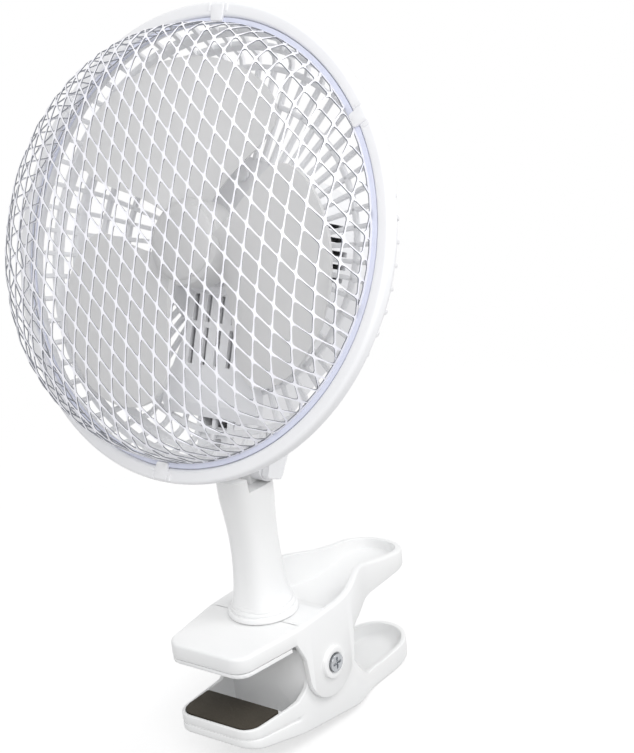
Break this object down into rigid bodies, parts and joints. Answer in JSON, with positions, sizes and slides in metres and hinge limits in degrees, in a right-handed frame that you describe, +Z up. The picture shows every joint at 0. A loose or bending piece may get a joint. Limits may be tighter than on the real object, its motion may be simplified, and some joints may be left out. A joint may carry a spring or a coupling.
{
  "type": "clip fan",
  "caption": "Small electric fan on a spring clamp, with a swivelling neck and a tilting caged head whose impeller turns behind a domed mesh guard.",
  "frame": {"origin": "middle of the clamp face, the underside of the upper jaw's pad", "axes": "+Z up along the neck; the fan looks along -Y; +X across the clamp, towards the pivot screw's head"},
  "size_m": [0.185, 0.1543, 0.3079],
  "materials": {
    "white_plastic": "satin moulded white",
    "blade_plastic": "slightly translucent moulded white",
    "coated_steel": "white coating on stretched sheet steel",
    "pad_foam": "matt dark foam rubber",
    "bright_steel": "bright zinc",
    "iron_plate": "plain electrical steel",
    "copper_wire": "varnished wire; brass stands in for copper",
    "black_plastic": "plain moulded black"
  },
  "bodies": {
    "upper_clamp": {"upper_jaw": "white_plastic", "jaw_lining": "white_plastic", "upper_pad": "pad_foam", "lining_screw_1": "bright_steel", "lining_screw_2": "bright_steel", "pivot_bolt": "bright_steel", "pivot_nut": "bright_steel", "torsion_spring": "bright_steel"},
    "lower_clamp": {"lower_jaw": "white_plastic", "lower_pad": "pad_foam"},
    "neck_post": {"neck": "white_plastic", "neck_washer": "bright_steel", "neck_screw": "bright_steel", "tilt_bolt": "bright_steel", "tilt_nut": "bright_steel"},
    "head": {"rear_guard": "white_plastic", "front_guard": "coated_steel", "vent_cover": "white_plastic", "motor_shell": "white_plastic", "tilt_cover": "white_plastic", "plate_screw_1": "bright_steel", "plate_screw_2": "bright_steel", "plate_screw_3": "bright_steel", "stator": "iron_plate", "coil": "copper_wire", "front_bracket": "iron_plate", "rear_bracket": "iron_plate", "front_bearing": "bright_steel", "rear_bearing": "bright_steel", "switch_body": "black_plastic", "cord_bushing": "black_plastic"},
    "rotor": {"impeller": "blade_plastic", "hub_cap": "blade_plastic", "shaft": "bright_steel", "motor_rotor": "iron_plate"},
    "switch_rocker": {"rocker": "black_plastic"}
  },
  "joints": [
    {"name": "jaw_hinge", "type": "hinge", "parent": "upper_clamp", "child": "lower_clamp", "pos_m": [0, 0.035, -0.013], "axis": [1, 0, 0], "range_deg": [-24.5, 20], "stiffness_Nm_per_rad": 0.35, "springref_deg": -68.75, "deforming": ["torsion_spring"]},
    {"name": "neck_swivel", "type": "hinge", "parent": "upper_clamp", "child": "neck_post", "pos_m": [0, 0.024, 0.011], "axis": [0, 0, 1], "range_deg": [-90, 90]},
    {"name": "head_tilt", "type": "hinge", "parent": "neck_post", "child": "head", "pos_m": [0, 0.029, 0.0766], "axis": [1, 0, 0], "range_deg": [-40, 21.8]},
    {"name": "blade_spin", "type": "hinge", "parent": "head", "child": "rotor", "pos_m": [0, 0.009, 0.1747], "axis": [0, -0.9282, 0.3722], "continuous": true},
    {"name": "rocker_press", "type": "hinge", "parent": "head", "child": "switch_rocker", "pos_m": [0, 0.07991, 0.14196], "axis": [1, 0, 0], "range_deg": [-17, 0]}
  ]
}
